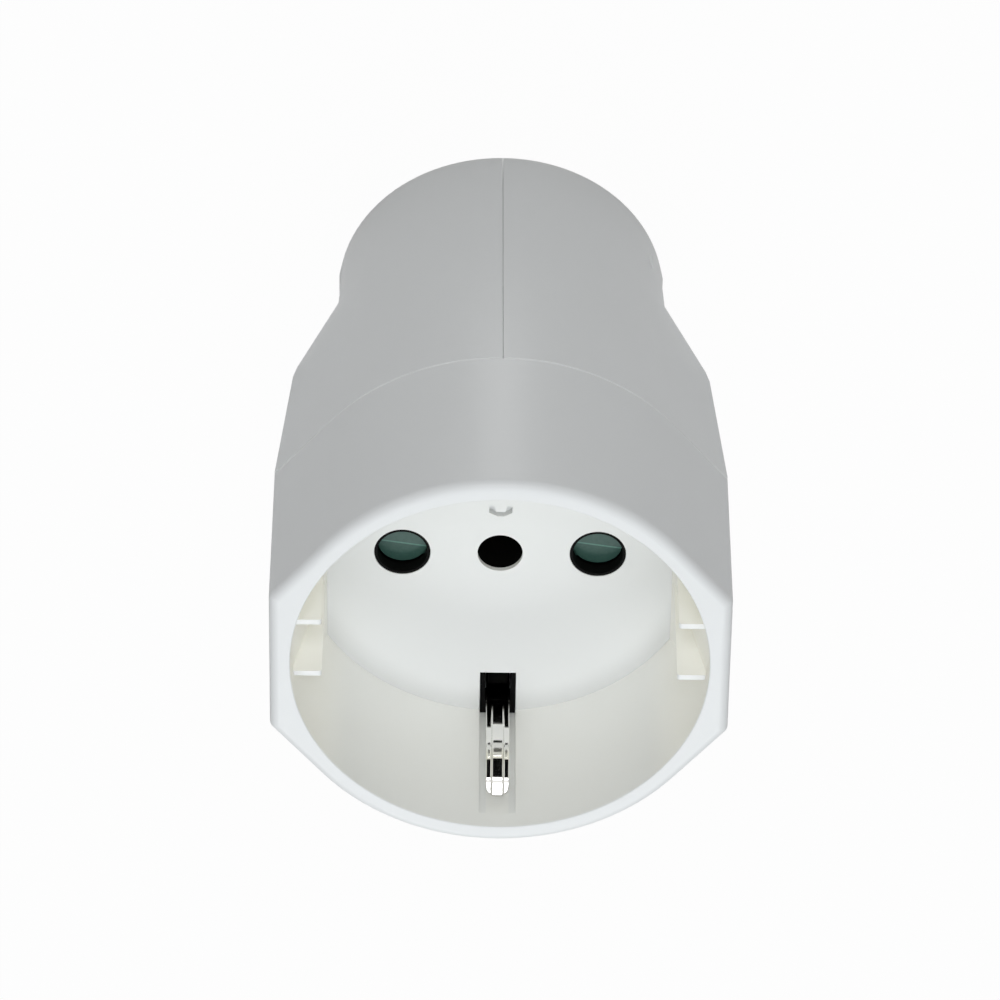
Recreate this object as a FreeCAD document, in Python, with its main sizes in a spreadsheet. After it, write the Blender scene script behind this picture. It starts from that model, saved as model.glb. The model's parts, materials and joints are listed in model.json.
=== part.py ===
import FreeCAD, Part
import math
import os
import re
import Sketcher

# Inline socket connector, rewirable, with a 19 mm pin pitch, side earth clips and a centre earth hole.
# It stands on its cord end with the mouth up: the axis is Z, the rear face is Z = 0 and the two
# rear shells meet on the plane X = 0. Side flats face X, the earth clips lie on Y. Millimetres.

V = FreeCAD.Vector
doc = FreeCAD.newDocument("inline_socket_connector")
dims = doc.addObject("Spreadsheet::Sheet", "dims")

SIZES = [
    ("carrier_base", 22.0, "rear face to the contact carrier's lower face"),
    ("carrier_height", 18.9, "carrier's lower face to the seam"),
    ("collar_depth", 20.4, "mouth to the seam with the rear shells"),
    ("mouth_radius", 19.97, "recess radius at the mouth"),
    ("collar_wall", 1.53, "recess to the collar's round outside at the seam"),
    ("collar_draft", 1.26, "degrees that the collar's round and facets open to the mouth"),
    ("side_wall", 1.98, "recess to a side flat"),
    ("flat_half", 7.2, "half height of the side flat at the seam"),
    ("crease_angle", 50.2, "degrees from the Y axis to where the round turns straight"),
    ("flat_corner", 0.8, "rounding of the side flat's long edges"),
    ("mouth_edge", 0.95, "rounding of the mouth's outer edge"),
    ("seam_edge", 0.2, "rounding of the collar and bevel of the shells at the seam"),
    ("lip_edge", 0.15, "rounding of the mouth's inner edge"),
    ("recess_draft", 0.68, "degrees that the recess wall closes in"),
    ("recess_depth", 17.57, "mouth to recess floor"),
    ("guide_reach", 16.8, "centre to the foot of a slanted guide face"),
    ("guide_step", 2.3, "mouth to the head of a guide face"),
    ("guide_root", 0.3, "how far the guides reach into the recess wall"),
    ("rib_reach", 17.0, "centre to the ribs on a guide face"),
    ("rib_step", 2.6, "mouth to the ribs"),
    ("rib_wall", 0.57, "rib thickness"),
    ("rib_place", 3.13, "rib distance from the middle"),
    ("rib_edge", 0.3, "rounding of a rib's upper edge"),
    ("pin_pitch", 19.0, "between the two pin holes"),
    ("pin_hole", 5.5, "diameter of the floor's pin holes"),
    ("earth_hole", 4.4, "diameter of the centre hole"),
    ("slot_width", 3.57, "earth clip slot"),
    ("slot_start", 14.96, "centre to the slot's inner end"),
    ("channel_depth", 0.6, "clip channel in the recess wall"),
    ("channel_step", 2.0, "mouth to the channel's end"),
    ("latch_half", 1.13, "half width of the latch mark in the floor"),
    ("latch_near", 5.72, "centre to the mark's outer side"),
    ("latch_far", 4.94, "centre to the corners of the mark's wide part"),
    ("latch_end", 4.5, "centre to the mark's inner side"),
    ("latch_tongue", 0.63, "half width of the tongue in the mark"),
    ("latch_tip", 5.06, "centre to the tongue's tip"),
    ("latch_depth", 0.7, "depth of the mark"),
    ("face_skin", 1.0, "recess floor thickness over the shutter"),
    ("hole_relief", 0.5, "how much thinner the floor is round the centre hole"),
    ("shutter_room", 13.4, "radius of the pocket behind the floor"),
    ("spigot_inset", 2.7, "collar's round outside to the ring's outside"),
    ("spigot_wall", 1.5, "wall of that ring"),
    ("spigot_length", 4.4, "length of that ring"),
    ("bead_height", 0.55, "snap bead on the ring"),
    ("bead_width", 1.2, "bead width along the axis"),
    ("bead_place", 3.9, "seam to the bead's lower side"),
    ("bead_play", 0.15, "clearance between bead and groove"),
    ("shell_step", 0.1, "shells inside the collar's outline at the seam"),
    ("rear_radius", 16.5, "rear shells at the rear face"),
    ("shell_wall", 1.8, "wall of the shells"),
    ("rear_wall", 2.2, "rear wall of the shells"),
    ("rear_edge", 0.3, "bevel of the rear edge"),
    ("seam_gap", 0.06, "gap between collar and shells"),
    ("parting_gap", 0.04, "gap between the two shells"),
    ("shoulder_height", 24.3, "height of the side grip's shoulder"),
    ("shoulder_inset", 1.45, "side flat to the shoulder"),
    ("shoulder_round", 0.8, "half length of the shoulder's rounding"),
    ("shoulder_drop", 0.12, "how far the rounding pulls the shoulder in"),
    ("ramp_foot", 13.6, "height where the side ramp ends"),
    ("foot_inset", 0.2, "rear radius to the ramp's foot"),
    ("waist_inset", 0.4, "rear radius to the flat finger hollow"),
    ("rim_height", 1.5, "height of the rear rim below the hollow"),
    ("rim_fall", 1.1, "height over which the rim falls to the hollow"),
    ("rim_inset", 0.03, "rear radius to the rim's side"),
    ("cord_hole", 9.6, "diameter of the cord inlet"),
    ("screw_seat", 9.2, "housing screw head seat from the parting plane"),
    ("screw_shank", 1.3, "housing screw shank radius"),
    ("screw_head", 2.6, "housing screw head radius"),
    ("screw_head_height", 1.9, "housing screw head height"),
    ("screw_reach", 6.0, "housing screw tip past the parting plane"),
    ("screw_play", 0.25, "clearance round shank and head"),
    ("boss_radius", 2.6, "screw boss in the shells"),
    ("rear_screw_y", 11.9, "rear housing screw from the axis"),
    ("rear_screw_z", 7.4, "rear housing screw height"),
    ("front_screw_y", 12.7, "front housing screw from the axis"),
    ("front_screw_drop", 6.0, "carrier's lower face to the front housing screw"),
    ("thread_play", 0.02, "clearance of a screw in its thread"),
    ("ledge_seat", 1.0, "width of the flange's seat on the ledge"),
    ("ledge_height", 1.9, "ledge thickness"),
    ("seat_play", 0.1, "clearance where pieces seat in each other"),
    ("flange_inset", 1.2, "ring's outside to the flange's outside"),
    ("carrier_drop", 0.22, "carrier top below the seam"),
    ("flange_width", 2.1, "carrier flange beyond the carrier"),
    ("flange_height", 2.3, "carrier flange thickness"),
    ("chamber_x", 7.2, "contact chamber across the pitch"),
    ("chamber_y", 7.8, "contact chamber the other way"),
    ("chamber_floor", 2.0, "wall below a contact"),
    ("skirt_wall", 1.0, "wall round a terminal"),
    ("skirt_length", 7.4, "length of the terminal skirts"),
    ("terminal_side", 6.2, "terminal block side"),
    ("terminal_height", 6.8, "terminal block height"),
    ("wire_hole", 1.6, "radius of a terminal's wire hole"),
    ("terminal_screw", 1.45, "terminal screw shank radius"),
    ("terminal_head", 2.3, "terminal screw head radius"),
    ("terminal_head_height", 1.6, "terminal screw head height"),
    ("driver_slot", 0.7, "width of a screw slot"),
    ("leaf", 0.7, "thickness of the contact leaves"),
    ("leaf_width", 4.6, "width of the contact leaves"),
    ("leaf_grip", 2.3, "half gap between the leaves at the grip"),
    ("leaf_stem", 1.2, "radius of the contact's rivet"),
    ("leaf_rise", 3.0, "contact base above the carrier base"),
    ("leaf_top", 2.1, "carrier top to the leaves' flared ends"),
    ("leaf_flare", 0.6, "flare of the leaves"),
    ("leaf_grip_drop", 2.0, "flared end to the grip"),
    ("leaf_belly", 0.35, "how far the leaves stand back below the grip"),
    ("clasp", 0.4, "thickness of the steel clasp round the leaves"),
    ("clasp_width", 3.0, "width of the clasp"),
    ("holder_plate", 0.4, "shutter holder plate"),
    ("holder_play", 0.2, "holder plate inside its pocket"),
    ("sleeve_wall", 0.27, "sleeve in the pin hole"),
    ("sleeve_play", 0.03, "sleeve clearance in the pin hole"),
    ("sleeve_step", 0.06, "sleeve end below the recess floor"),
    ("pivot_radius", 3.4, "shutter pivot tube"),
    ("pivot_bore", 2.65, "bore of the pivot tube"),
    ("pivot_length", 2.1, "pivot tube below the plate"),
    ("pivot_play", 0.05, "running clearance of the shutter"),
    ("shutter_thick", 1.5, "shutter thickness"),
    ("shutter_hub", 5.3, "shutter hub radius"),
    ("shutter_pad", 2.36, "shutter pad radius"),
    ("shutter_arm", 3.4, "shutter arm width"),
    ("shutter_slope", 0.3, "fall of the pad's cam faces from its ridge"),
    ("ridge_angle", -8.8, "degrees, the pad's ridge from the arm"),
    ("arm_step", 0.5, "arms below the pads"),
    ("spring_radius", 4.6, "centre line of the return spring"),
    ("spring_wire", 0.2, "radius of the spring wire"),
    ("spring_start", 90.0, "degrees, where the spring's upper leg stands"),
    ("spring_sweep", 300.0, "degrees of the spring's ring"),
    ("spring_leg", 1.3, "length of the spring's two legs"),
    ("earth_tube", 2.6, "outer radius of the centre earth contact"),
    ("earth_bore", 1.9, "its bore"),
    ("earth_tube_top", 4.6, "seam to the top of the centre earth contact"),
    ("earth_slit", 0.6, "slits in the centre earth contact"),
    ("strap", 0.8, "earth strap bridge thickness"),
    ("strap_width", 5.0, "earth strap bridge width"),
    ("clip", 0.6, "earth clip thickness"),
    ("clip_width", 2.3, "earth clip width"),
    ("clip_rib", 1.12, "width of the clip's pressed rib"),
    ("clip_rib_height", 0.3, "height of the clip's pressed rib"),
    ("leg_inset", 1.6, "flange's outside to the strap's leg"),
    ("root_gap", 1.47, "recess wall to the clip where it leaves the floor"),
    ("knee_gap", 3.58, "recess wall to the clip's knee"),
    ("knee_depth", 9.4, "mouth to the knee"),
    ("bend_gap", 2.8, "recess wall to the bend above the knee"),
    ("bend_depth", 6.97, "mouth to that bend"),
    ("curl_gap", 1.59, "recess wall to where the tip curls"),
    ("curl_depth", 5.2, "mouth to where the tip curls"),
    ("tip_gap", 0.64, "recess wall to the clip's tip"),
    ("tip_depth", 4.61, "mouth to the clip's tip"),
    ("tip_bevel", 0.35, "bevel of the clip's tip"),
    ("earth_terminal_y", 9.0, "earth terminal from the axis"),
    ("cord_radius", 4.0, "largest cord the clamp takes"),
    ("clamp_width", 5.0, "clamp bar along the axis"),
    ("clamp_half", 9.1, "half length of the clamp bar"),
    ("clamp_thick", 2.6, "clamp bar thickness"),
    ("clamp_z", 7.0, "clamp height"),
    ("clamp_screw_y", 6.5, "clamp screws from the axis"),
    ("clamp_screw", 1.25, "clamp screw shank radius"),
    ("guard_drop", 0.5, "recess floor to the top of the black clip guards"),
    ("guard_slope", 1.6, "height over which a guard's rail widens above the flange"),
    ("guard_gap", 0.35, "clip to a guard's end plate"),
    ("clamp_head", 2.2, "clamp screw head radius"),
    ("clamp_seat", 2.9, "clamp posts past the parting plane"),
    ("post_radius", 2.4, "clamp post radius"),
    ("span", 60.0, "larger than the part, for cutting blocks"),
]

# What follows from them: the pieces sit inside one another by the walls and clearances above.
FOLLOWING = [
    ("length", "=carrier_base + carrier_height + collar_depth", "rear face to mouth"),
    ("collar_radius", "=mouth_radius + collar_wall", "round part of the collar at the seam"),
    ("flat_reach", "=mouth_radius + side_wall", "centre to side flat"),
    ("shell_radius", "=collar_radius - shell_step", "rear shells at the seam"),
    ("spigot_radius", "=collar_radius - spigot_inset", "ring of the cup inside the shells"),
    ("flange_radius", "=spigot_radius - flange_inset", "carrier flange"),
    ("carrier_radius", "=flange_radius - flange_width", "contact carrier"),
    ("ledge_radius", "=flange_radius - ledge_seat", "inner radius of the shells' carrier ledge"),
    ("holder_radius", "=shutter_room - holder_play", "shutter holder"),
    ("shoulder_reach", "=flat_reach - shoulder_inset", "centre to shoulder"),
    ("foot_reach", "=rear_radius - foot_inset", "centre to the ramp's foot"),
    ("waist_reach", "=rear_radius - waist_inset", "centre to the flat finger hollow"),
    ("rim_reach", "=rear_radius - rim_inset", "centre to the rim's side"),
    ("front_screw_z", "=carrier_base - front_screw_drop", "front housing screw height"),
    ("leg_reach", "=flange_radius - leg_inset", "centre to the strap's leg"),
    ("clip_root", "=mouth_radius - root_gap", "centre to the clip where it leaves the floor"),
    ("knee_reach", "=mouth_radius - knee_gap", "centre to the clip's knee"),
    ("bend_reach", "=mouth_radius - bend_gap", "centre to the bend above the knee"),
    ("curl_reach", "=mouth_radius - curl_gap", "centre to where the tip curls"),
    ("tip_reach", "=mouth_radius - tip_gap", "centre to the clip's tip"),
]

for row, (alias, value, note) in enumerate(SIZES + FOLLOWING, start=1):
    dims.set("A%d" % row, note)
    dims.set("B%d" % row, str(value))
    dims.setAlias("B%d" % row, alias)
doc.recompute()

alias_pattern = re.compile(r"\b(%s)\b" % "|".join(alias for alias, value, note in SIZES + FOLLOWING))

# Heights that several pieces share, written with the sheet's own names.
seam = "(length - collar_depth)"
floor = "(length - recess_depth)"
skin_under = "(length - recess_depth - face_skin)"
plate_under = "(length - recess_depth - face_skin - holder_plate)"
carrier_top = "(length - collar_depth - carrier_drop)"
pin = "(pin_pitch / 2)"
flange_base = "(%s - spigot_length - seat_play - flange_height)" % seam
spring_z = "(%s - spring_wire)" % carrier_top
spring_end = "(spring_start + spring_sweep)"
terminal_z = "(carrier_base - terminal_height / 2)"
strap_under = "(carrier_base - seat_play - strap)"
head_seat = "(terminal_side / 2 + 2 * seat_play + skirt_wall)"

UPRIGHT_TO_NEAR = FreeCAD.Rotation(V(1, 0, 0), 90)
UPRIGHT_TO_LEFT = FreeCAD.Rotation(V(0, 1, 0), -90)
UPRIGHT_TO_RIGHT = FreeCAD.Rotation(V(0, 1, 0), 90)


def formula(text):
    return alias_pattern.sub(r"dims.\1", text)


def number_of(text):
    return float(dims.evalExpression(formula(text)))


def bind(thing, sizes):
    for name, text in sizes.items():
        thing.setExpression(name, formula(text))


def put(thing, x="0", y="0", z="0"):
    bind(thing, {"Placement.Base.x": x, "Placement.Base.y": y, "Placement.Base.z": z})


# Sketch outlines: every corner is tied to the sheet.

def pin_point(sketch, geo, end, x, y):
    if x == "0":
        sketch.addConstraint(Sketcher.Constraint("PointOnObject", geo, end, -2))
    else:
        at = sketch.addConstraint(Sketcher.Constraint("DistanceX", -1, 1, geo, end, number_of(x)))
        sketch.setExpression("Constraints[%d]" % at, formula(x))
    if y == "0":
        sketch.addConstraint(Sketcher.Constraint("PointOnObject", geo, end, -1))
    else:
        at = sketch.addConstraint(Sketcher.Constraint("DistanceY", -1, 1, geo, end, number_of(y)))
        sketch.setExpression("Constraints[%d]" % at, formula(y))


def corners(sketch, points, closed=True):
    places = [V(number_of(x), number_of(y), 0) for x, y in points]
    count = len(points) if closed else len(points) - 1
    first = len(sketch.Geometry)
    for step in range(count):
        sketch.addGeometry(Part.LineSegment(places[step], places[(step + 1) % len(points)]), False)
    for step in range(count if closed else count - 1):
        after = first + (step + 1) % count
        sketch.addConstraint(Sketcher.Constraint("Coincident", first + step, 2, after, 1))
    for step, (x, y) in enumerate(points):
        if step < count:
            pin_point(sketch, first + step, 1, x, y)
        else:
            pin_point(sketch, first + step - 1, 2, x, y)


def rectangle(sketch, x0, x1, y0, y1):
    corners(sketch, [(x0, y0), (x1, y0), (x1, y1), (x0, y1)])


def fix_x(sketch, geo, end, x):
    at = sketch.addConstraint(Sketcher.Constraint("DistanceX", -1, 1, geo, end, number_of(x)))
    sketch.setExpression("Constraints[%d]" % at, formula(x))


def fix_radius(sketch, geo, radius):
    at = sketch.addConstraint(Sketcher.Constraint("Radius", geo, number_of(radius)))
    sketch.setExpression("Constraints[%d]" % at, formula(radius))


def meet(sketch, first, second):
    sketch.addConstraint(Sketcher.Constraint("Coincident", *first, *second))


def disc(sketch, x, y, radius):
    centre = V(number_of(x), number_of(y), 0)
    geo = sketch.addGeometry(Part.Circle(centre, V(0, 0, 1), number_of(radius)), False)
    if x == "0" and y == "0":
        meet(sketch, (geo, 3), (-1, 1))
    else:
        pin_point(sketch, geo, 3, x, y)
    fix_radius(sketch, geo, radius)


def arc_between(sketch, radius, near, far):
    # An arc about the origin; the two points that it returns are its near and its far end.
    circle = Part.Circle(V(0, 0, 0), V(0, 0, 1), number_of(radius))
    arc = sketch.addGeometry(Part.ArcOfCircle(circle, min(near, far), max(near, far)), False)
    meet(sketch, (arc, 3), (-1, 1))
    return ((arc, 1), (arc, 2)) if near < far else ((arc, 2), (arc, 1))


def flank(sketch, top, base, radius, reach, half, side, faceted):
    # From the crease at the top to the crease at the base, round the flat that stands at reach.
    sign = "" if side > 0 else "-"
    turn = math.radians(number_of("crease_angle"))
    across, along = side * number_of(radius) * math.sin(turn), number_of(radius) * math.cos(turn)
    corner, rise = V(side * number_of(reach), number_of(half), 0), V(0, 2 * number_of(half), 0)
    flat = sketch.addGeometry(Part.LineSegment(corner, corner - rise), False)
    if faceted:
        upper = sketch.addGeometry(Part.LineSegment(V(across, along, 0), corner), False)
        lower = sketch.addGeometry(Part.LineSegment(corner - rise, V(across, -along, 0)), False)
        upper_ends, lower_ends = ((upper, 1), (upper, 2)), ((lower, 2), (lower, 1))
        pin_point(sketch, flat, 1, "%s(%s)" % (sign, reach), half)
        pin_point(sketch, flat, 2, "%s(%s)" % (sign, reach), "-(%s)" % half)
    else:
        bend = math.asin(number_of(reach) / number_of(radius))
        upper_ends = arc_between(sketch, radius, math.pi / 2 - side * turn, math.pi / 2 - side * bend)
        lower_ends = arc_between(sketch, radius, 3 * math.pi / 2 + side * turn, 3 * math.pi / 2 + side * bend)
        fix_x(sketch, flat, 1, "%s(%s)" % (sign, reach))
        fix_x(sketch, flat, 2, "%s(%s)" % (sign, reach))
    meet(sketch, upper_ends[0], top)
    meet(sketch, upper_ends[1], (flat, 1))
    meet(sketch, lower_ends[1], (flat, 2))
    meet(sketch, lower_ends[0], base)


def barrel(sketch, radius, reach, half):
    # Round above and below, straight facets from the crease angle to the corners of the side flats.
    turn = math.radians(number_of("crease_angle"))
    creases = []
    for middle, way in ((math.pi / 2, -1), (3 * math.pi / 2, 1)):
        left, right = arc_between(sketch, radius, middle - way * turn, middle + way * turn)
        fix_radius(sketch, left[0], radius)
        fix_x(sketch, *left, "-(%s * sin(crease_angle))" % radius)
        fix_x(sketch, *right, "%s * sin(crease_angle)" % radius)
        creases.append((left, right))
    (top_left, top_right), (base_left, base_right) = creases
    flank(sketch, top_right, base_right, radius, reach, half, 1, True)
    flank(sketch, top_left, base_left, radius, reach, half, -1, True)


def half_barrel(sketch, radius, reach, half, start, side, faceted):
    # The part of a barrel outline on one side of the parting plane, closed by a straight line at start.
    sign = "" if side > 0 else "-"
    turn = math.radians(number_of("crease_angle"))
    low = math.asin(number_of(start) / number_of(radius))
    creases = []
    for middle, way in ((math.pi / 2, 1), (3 * math.pi / 2, -1)):
        inner, crease = arc_between(sketch, radius, middle - side * way * low, middle - side * way * turn)
        fix_radius(sketch, inner[0], radius)
        fix_x(sketch, *inner, "%s(%s)" % (sign, start))
        fix_x(sketch, *crease, "%s(%s * sin(crease_angle))" % (sign, radius))
        creases.append((inner, crease))
    (top_inner, top_crease), (base_inner, base_crease) = creases
    x = side * number_of(start)
    y = math.sqrt(number_of(radius) ** 2 - x ** 2)
    close = sketch.addGeometry(Part.LineSegment(V(x, -y, 0), V(x, y, 0)), False)
    meet(sketch, (close, 1), base_inner)
    meet(sketch, (close, 2), top_inner)
    flank(sketch, top_crease, base_crease, radius, reach, half, side, faceted)


def segment(sketch, radius, reach, side):
    # The part of a disc beyond a chord at reach, on the side given.
    turn = math.acos(number_of(reach) / number_of(radius))
    middle = 0 if side > 0 else math.pi
    first, last = arc_between(sketch, radius, middle - turn, middle + turn)
    x = side * number_of(reach)
    y = math.sqrt(number_of(radius) ** 2 - x * x)
    chord = sketch.addGeometry(Part.LineSegment(V(x, -side * y, 0), V(x, side * y, 0)), False)
    fix_radius(sketch, first[0], radius)
    meet(sketch, (chord, 1), first)
    meet(sketch, (chord, 2), last)
    fix_x(sketch, *first, "%d * %s" % (side, reach))
    fix_x(sketch, *last, "%d * %s" % (side, reach))


TURNS = {
    "XY_Plane": FreeCAD.Rotation(),
    "XZ_Plane": FreeCAD.Rotation(V(1, 0, 0), 90),
    "YZ_Plane": FreeCAD.Rotation(V(1, 1, 1), 120),
}


def loose_sketch(name, plane="XY_Plane", z="0"):
    sketch = doc.addObject("Sketcher::SketchObject", name)
    sketch.Placement = FreeCAD.Placement(V(), TURNS[plane])
    put(sketch, z=z)
    return sketch


def new_body(label):
    body = doc.addObject("PartDesign::Body", label)
    body.Label = label
    return body


def body_sketch(body, name, plane="XY_Plane", offset="0"):
    sketch = body.newObject("Sketcher::SketchObject", name)
    support = [one for one in body.Origin.OriginFeatures if one.Role == plane][0]
    sketch.AttachmentSupport = (support, [""])
    sketch.MapMode = "FlatFace"
    sketch.setExpression("AttachmentOffset.Base.z", formula(offset))
    return sketch


def pad(body, sketch, length, down=False, both=False):
    step = body.newObject("PartDesign::Pad", sketch.Name + "_pad")
    step.Profile = sketch
    step.Reversed = down
    step.Midplane = both
    bind(step, {"Length": length})
    doc.recompute()
    return step


def pocket(body, sketch, length, up=False, both=False):
    before = body.Shape.Volume
    step = body.newObject("PartDesign::Pocket", sketch.Name + "_pocket")
    step.Profile = sketch
    step.Reversed = up
    step.Midplane = both
    bind(step, {"Length": length})
    doc.recompute()
    if body.Shape.Volume >= before:
        raise RuntimeError(sketch.Name + " cuts nothing")
    return step


def draft(body, name, angle, chosen, neutral):
    base = body.Tip
    faces = [("Face%d" % (at + 1), face) for at, face in enumerate(base.Shape.Faces)]
    step = body.newObject("PartDesign::Draft", name)
    step.Base = (base, [label for label, face in faces if chosen(face)])
    step.NeutralPlane = (base, [label for label, face in faces if neutral(face)])
    bind(step, {"Angle": angle})
    step.Reversed = True
    doc.recompute()
    return step


def ruled(body, name, lower, upper):
    step = body.newObject("PartDesign::AdditiveLoft", name)
    step.Profile = lower
    step.Sections = [upper]
    step.Ruled = True
    doc.recompute()
    return step


def round_edges(body, name, radius, chosen):
    base = body.Tip
    edges = ["Edge%d" % (at + 1) for at, edge in enumerate(base.Shape.Edges) if chosen(edge)]
    if not edges:
        raise RuntimeError(name + " finds no edge")
    step = body.newObject("PartDesign::Fillet", name)
    step.Base = (base, edges)
    bind(step, {"Radius": radius})
    doc.recompute()
    return step


def level(shape, height):
    return all(abs(vertex.Point.z - height) < 1e-4 for vertex in shape.Vertexes)


def off_axis(edge):
    point = edge.valueAt((edge.FirstParameter + edge.LastParameter) / 2)
    return math.hypot(point.x, point.y)


# Solids from the sheet's own cells: blocks, rods, booleans and extrusions.

def block(name, x0, x1, y0, y1, z0, z1):
    one = doc.addObject("Part::Box", name)
    sides = {"Length": (x0, x1), "Width": (y0, y1), "Height": (z0, z1)}
    bind(one, {side: "(%s) - (%s)" % (high, low) for side, (low, high) in sides.items()})
    put(one, x0, y0, z0)
    return one


def rod(name, radius, length, x="0", y="0", z="0", along="Z"):
    one = doc.addObject("Part::Cylinder", name)
    bind(one, {"Radius": radius, "Height": length})
    turns = {"X": FreeCAD.Rotation(V(0, 1, 0), 90), "Y": FreeCAD.Rotation(V(1, 0, 0), -90)}
    if along in turns:
        one.Placement = FreeCAD.Placement(V(), turns[along])
    put(one, x, y, z)
    return one


def cut(name, base, tool):
    one = doc.addObject("Part::Cut", name)
    one.Base = base
    one.Tool = tool
    return one


def common(name, first, second):
    one = doc.addObject("Part::Common", name)
    one.Base = first
    one.Tool = second
    return one


def fuse(name, *pieces):
    one = doc.addObject("Part::MultiFuse", name)
    one.Shapes = list(pieces)
    one.Refine = True
    return one


def extrusion(name, sketch, length):
    one = doc.addObject("Part::Extrusion", name)
    one.Base = sketch
    one.DirMode = "Normal"
    one.Symmetric = True
    one.Solid = True
    bind(one, {"LengthFwd": length})
    return one


def strip(name, route, thickness, width, plane="YZ_Plane"):
    # A bent strip: its middle line, thickened to both sides and given its width.
    line = loose_sketch(name + "_line", plane)
    corners(line, route, closed=False)
    side = doc.addObject("Part::Offset2D", name + "_side")
    side.Source = line
    side.Mode = "Pipe"
    side.Join = "Intersection"
    side.Fill = True
    bind(side, {"Value": "(%s) / 2" % thickness})
    return extrusion(name + "_strip", side, width)


def turned(place, axis, degrees):
    return FreeCAD.Placement(place, FreeCAD.Rotation(axis, degrees))


# Front cup: collar, recess, guides, clip slots and the ring that the shells hold, one moulding.

def make_front_cup():
    cup = new_body("front_cup")
    outline = body_sketch(cup, "collar_outline", offset=seam)
    barrel(outline, "collar_radius", "flat_reach", "flat_half")
    pad(cup, outline, "collar_depth")
    mouth, lip, joint = number_of("length"), number_of("mouth_radius"), number_of(seam)
    draft(cup, "collar_flare", "collar_draft",
          lambda face: face.BoundBox.ZLength > 1 and face.BoundBox.XLength > 1,
          lambda face: level(face, joint))
    beyond = number_of("flat_reach + flat_corner / 2")
    round_edges(cup, "flat_corners", "flat_corner",
                lambda edge: not level(edge, mouth) and not level(edge, joint) and off_axis(edge) > beyond)
    round_edges(cup, "mouth_rounding", "mouth_edge", lambda edge: level(edge, mouth))
    round_edges(cup, "seam_rounding", "seam_edge", lambda edge: level(edge, joint))

    opening = body_sketch(cup, "mouth_opening", offset="length")
    disc(opening, "0", "0", "mouth_radius")
    recess = pocket(cup, opening, "recess_depth")
    recess.setExpression("TaperAngle", formula("-recess_draft"))
    doc.recompute()
    round_edges(cup, "lip_rounding", "lip_edge",
                lambda edge: level(edge, mouth) and abs(off_axis(edge) - lip) < 0.01)
    root = "(mouth_radius + guide_root)"
    for side, name in ((1, "right"), (-1, "left")):
        foot = body_sketch(cup, "guide_foot_" + name, offset=floor)
        segment(foot, root, "guide_reach", side)
        head = body_sketch(cup, "guide_head_" + name, offset="length - guide_step")
        segment(head, root, "mouth_radius", side)
        ruled(cup, "guide_" + name, foot, head)
    ribs = body_sketch(cup, "guide_ribs", offset="length - rib_step")
    for sign in ("", "-"):
        for place in ("rib_place", "-rib_place"):
            rectangle(ribs, sign + "rib_reach", sign + root,
                      "%s - rib_wall / 2" % place, "%s + rib_wall / 2" % place)
    pad(cup, ribs, "recess_depth - rib_step", down=True)
    rib_top = number_of("length - rib_step")
    round_edges(cup, "rib_rounding", "rib_edge",
                lambda edge: level(edge, rib_top) and edge.BoundBox.XLength < 1e-4)

    latch = body_sketch(cup, "latch_mark", offset=floor)
    right = [("latch_tongue / 2", "-latch_end"), ("latch_half", "-latch_far"), ("latch_half", "-latch_near"),
             ("latch_tongue", "-latch_near"), ("latch_tongue * 3 / 4", "-latch_tip")]
    left = [("-(%s)" % x, y) for x, y in reversed(right)]
    corners(latch, right + left)
    pocket(cup, latch, "latch_depth")

    ring = body_sketch(cup, "spigot_ring", offset=seam)
    disc(ring, "0", "0", "spigot_radius")
    disc(ring, "0", "0", "spigot_radius - spigot_wall")
    pad(cup, ring, "spigot_length", down=True)
    bead = body_sketch(cup, "snap_bead", offset="%s - bead_place" % seam)
    disc(bead, "0", "0", "spigot_radius + bead_height")
    disc(bead, "0", "0", "spigot_radius - spigot_wall / 2")
    pad(cup, bead, "bead_width")
    room = body_sketch(cup, "shutter_pocket", offset=seam)
    disc(room, "0", "0", "shutter_room")
    pocket(cup, room, "collar_depth - recess_depth - face_skin", up=True)
    relief = body_sketch(cup, "hole_relief", offset=skin_under)
    disc(relief, "0", "0", "pivot_radius + seat_play")
    pocket(cup, relief, "hole_relief", up=True)
    holes = body_sketch(cup, "floor_holes", offset=floor)
    for x in ("-pin_pitch / 2", "pin_pitch / 2"):
        disc(holes, x, "0", "pin_hole / 2")
    disc(holes, "0", "0", "earth_hole / 2")
    pocket(cup, holes, "face_skin")
    slots = body_sketch(cup, "clip_slots", offset="length - channel_step")
    for sign in ("", "-"):
        rectangle(slots, "-slot_width / 2", "slot_width / 2",
                  sign + "slot_start", sign + "(mouth_radius + channel_depth)")
    pocket(cup, slots, "collar_depth - channel_step + spigot_length")
    return cup


# Rear shells: one ruled form through level sections, hollowed, then split on the plane X = 0.

def cone_at(z):
    return "(rear_radius + (shell_radius - rear_radius) * (%s) / %s)" % (z, seam)


def shell_form(name, levels, wall, start, side):
    # Below the ramp the flat cuts the round; above it facets lead to a flat of the collar's height.
    sections = []
    for at, (z, reach, bevel, faceted) in enumerate(levels):
        radius = "(%s - %s - %s)" % (cone_at(z), wall, bevel)
        wall_reach = "(%s - %s)" % (reach, wall)
        half = "flat_half" if faceted else "sqrt(%s ^ 2 - %s ^ 2)" % (radius, wall_reach)
        sketch = loose_sketch("%s_%d" % (name, at), z=z)
        half_barrel(sketch, radius, wall_reach, half, start, side, faceted)
        sections.append(sketch)
    form = doc.addObject("Part::Loft", name)
    form.Sections = sections
    form.Solid = True
    form.Ruled = True
    return form


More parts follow.
